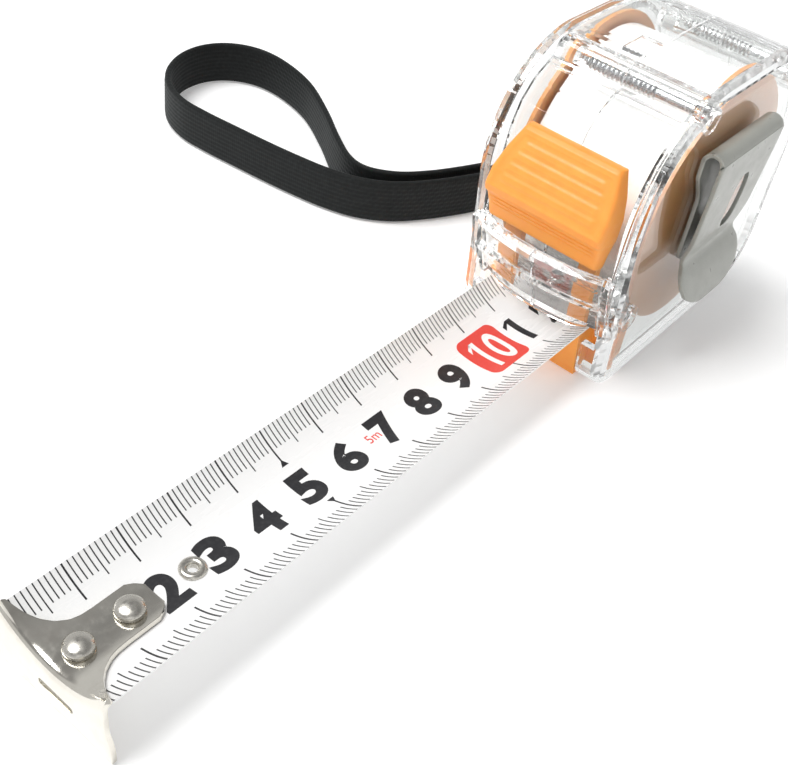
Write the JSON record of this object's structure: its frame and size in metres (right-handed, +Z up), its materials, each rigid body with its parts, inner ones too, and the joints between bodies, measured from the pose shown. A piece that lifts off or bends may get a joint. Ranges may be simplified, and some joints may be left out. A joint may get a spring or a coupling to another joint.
{
  "type": "tape measure",
  "caption": "Pocket tape measure with a clear case, sliding thumb lock, printed steel blade, riveted end hook, belt clip and wrist strap.",
  "frame": {"origin": "on the base's flat underside, midway between the case's sides and under the reel's axis", "axes": "+Z up from the base, -X the way the blade comes out, -Y the side with the belt clip"},
  "size_m": [0.188, 0.1442, 0.0601],
  "materials": {
    "clear_plastic": "clear, polished, injection-moulded",
    "orange_plastic": "satin moulded orange",
    "tan_plastic": "translucent tan, satin",
    "painted_blade": "white enamel with a black printed scale, satin clear coat",
    "nickel": "polished nickel plate",
    "zinc": "bright zinc plate",
    "clip_paint": "satin grey paint",
    "spring_steel": "blued strip steel",
    "webbing": "black woven flat webbing"
  },
  "bodies": {
    "case": {"case_left": "clear_plastic", "case_right": "clear_plastic", "mouth_insert": "orange_plastic", "spindle": "clear_plastic", "clip_base": "clip_paint", "clip_screw": "zinc", "case_screw_front_top": "zinc", "case_screw_front_mouth": "zinc", "case_screw_rear_top": "zinc", "case_screw_rear_foot": "zinc", "strap_pin": "zinc", "wrist_strap": "webbing"},
    "lock": {"thumb_lock": "orange_plastic", "lock_slider": "orange_plastic"},
    "reel": {"reel_hub": "tan_plastic", "reel_flange_left": "tan_plastic", "reel_flange_right": "tan_plastic", "blade_coil": "painted_blade", "power_spring": "spring_steel"},
    "blade": {"blade_strip": "painted_blade", "blade_eyelet": "nickel", "hook_rivet_1": "nickel", "hook_rivet_2": "nickel"},
    "hook": {"end_hook": "nickel"},
    "clip": {"clip_leaf": "clip_paint"}
  },
  "joints": [
    {"name": "blade_slide", "type": "slide", "parent": "case", "child": "blade", "axis": [1, 0, 0], "range_m": [0, 0.1125], "deforming": ["blade_strip"]},
    {"name": "reel_spin", "type": "hinge", "parent": "case", "child": "reel", "pos_m": [0, 0, 0.032], "axis": [0, 1, 0], "range_deg": [-280, 3]},
    {"name": "hook_slide", "type": "slide", "parent": "blade", "child": "hook", "axis": [-1, 0, 0], "range_m": [0, 0.0008]},
    {"name": "lock_slide", "type": "slide", "parent": "case", "child": "lock", "axis": [0.1621, 0, 0.9868], "range_m": [0, 0.005]},
    {"name": "clip_flex", "type": "hinge", "parent": "case", "child": "clip", "pos_m": [-0.001, -0.019, 0.0485], "axis": [-1, 0, 0], "range_deg": [0, 12], "stiffness_Nm_per_rad": 1.4}
  ],
  "couplings": [
    {"joint": "reel_spin", "follows": "blade_slide", "rad_per_m": -42.373}
  ]
}
